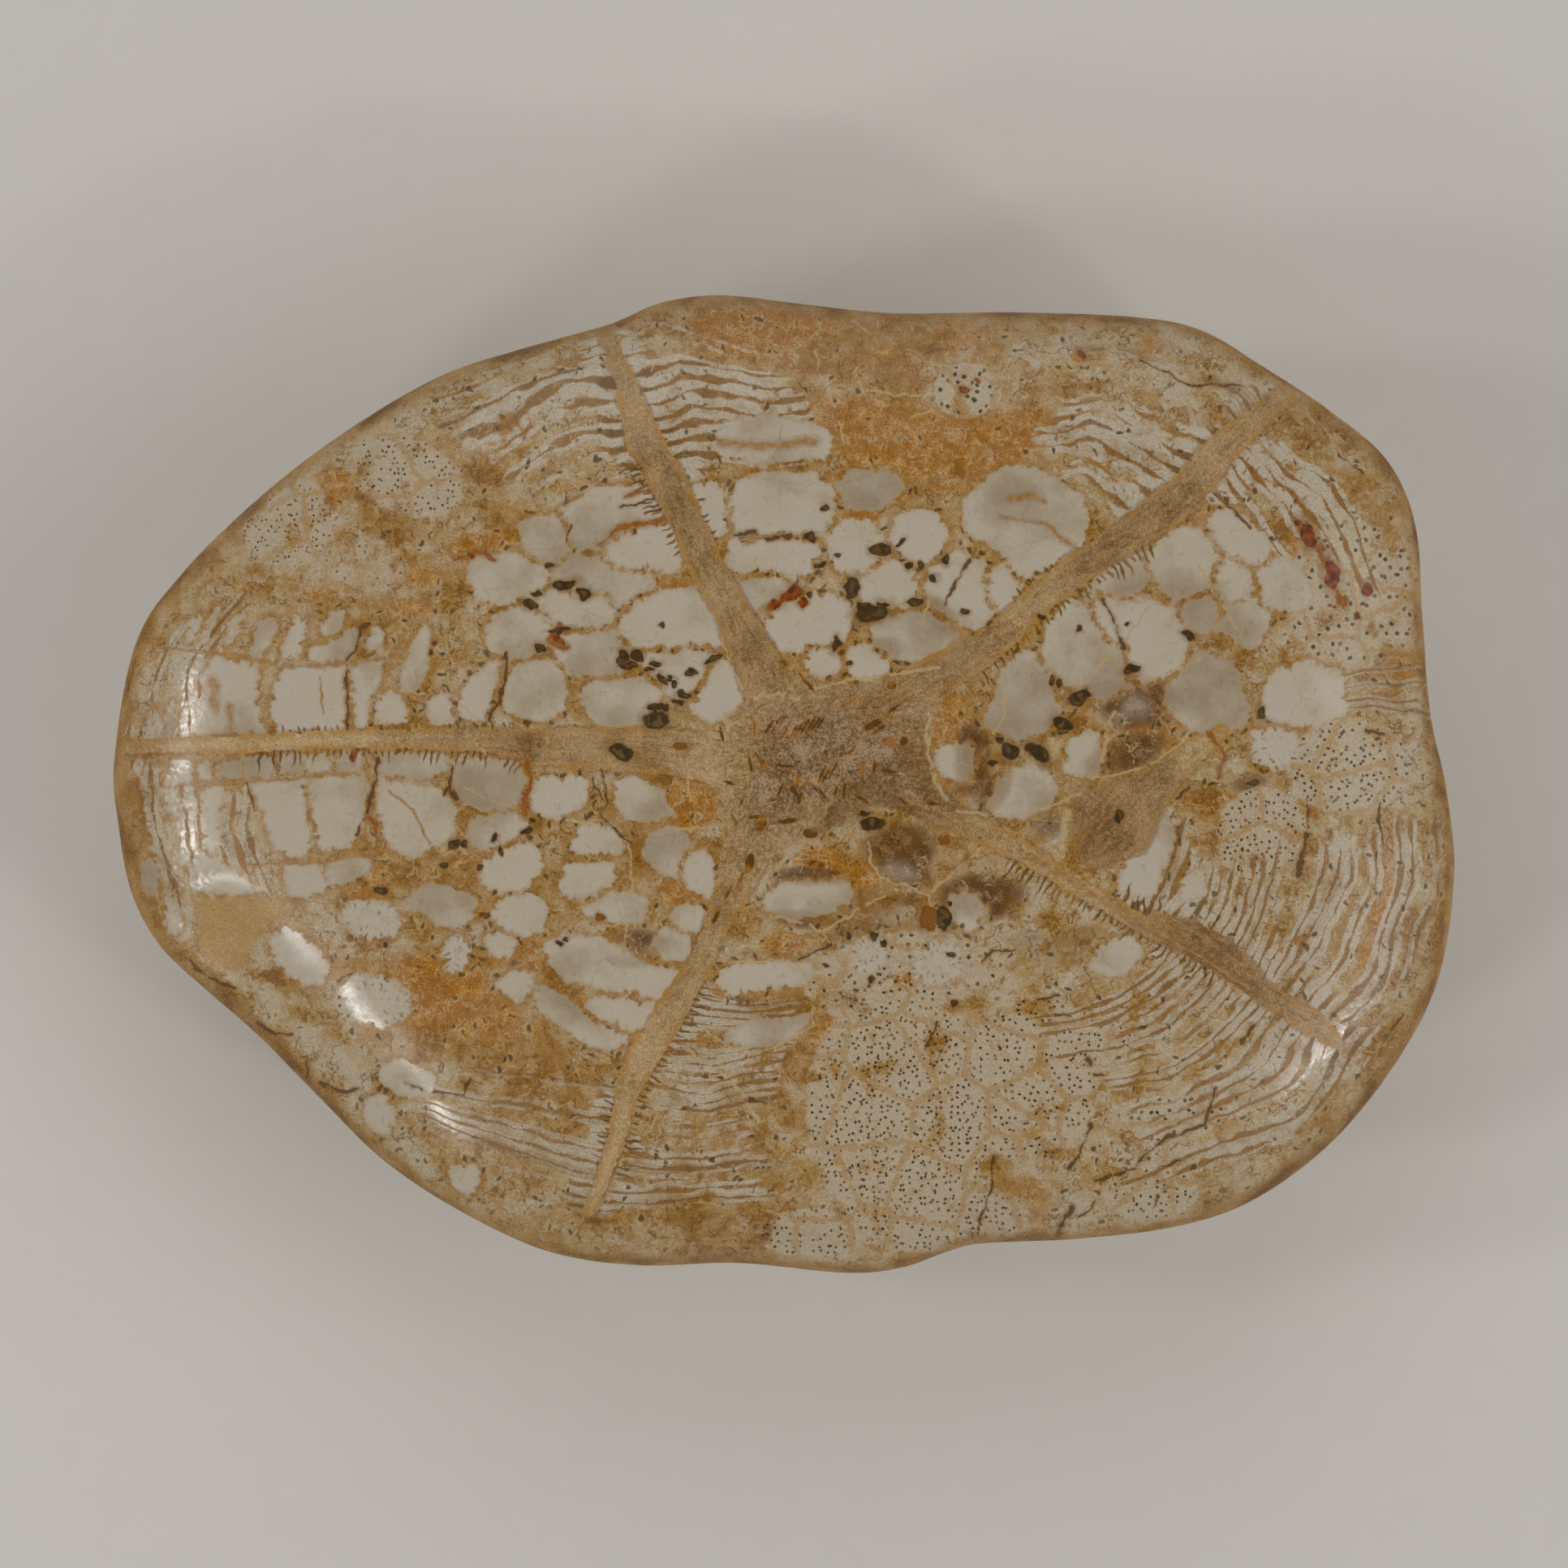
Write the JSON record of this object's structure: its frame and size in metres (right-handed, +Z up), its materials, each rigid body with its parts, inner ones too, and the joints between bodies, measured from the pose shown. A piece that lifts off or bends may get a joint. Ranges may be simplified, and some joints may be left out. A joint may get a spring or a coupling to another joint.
{
  "type": "clypeaster sea urchin fossil",
  "caption": "Polished fossil sand-dollar sea urchin, a flattened oval stone with a five-rayed mouth side facing up, lying on the low petal dome of its other side.",
  "frame": {"origin": "on the surface that the fossil rests on, under the middle of its outline", "axes": "+Z up, towards the polished mouth side; +X from the narrow front end of the test, where one ray ends alone, towards its broad back end; +Y across it"},
  "size_m": [0.1251, 0.0912, 0.036],
  "materials": {
    "polished_fossil": "polished tan, cream and white calcite with brown matrix"
  },
  "bodies": {
    "root": {"fossil_urchin": "polished_fossil"}
  },
  "joints": []
}
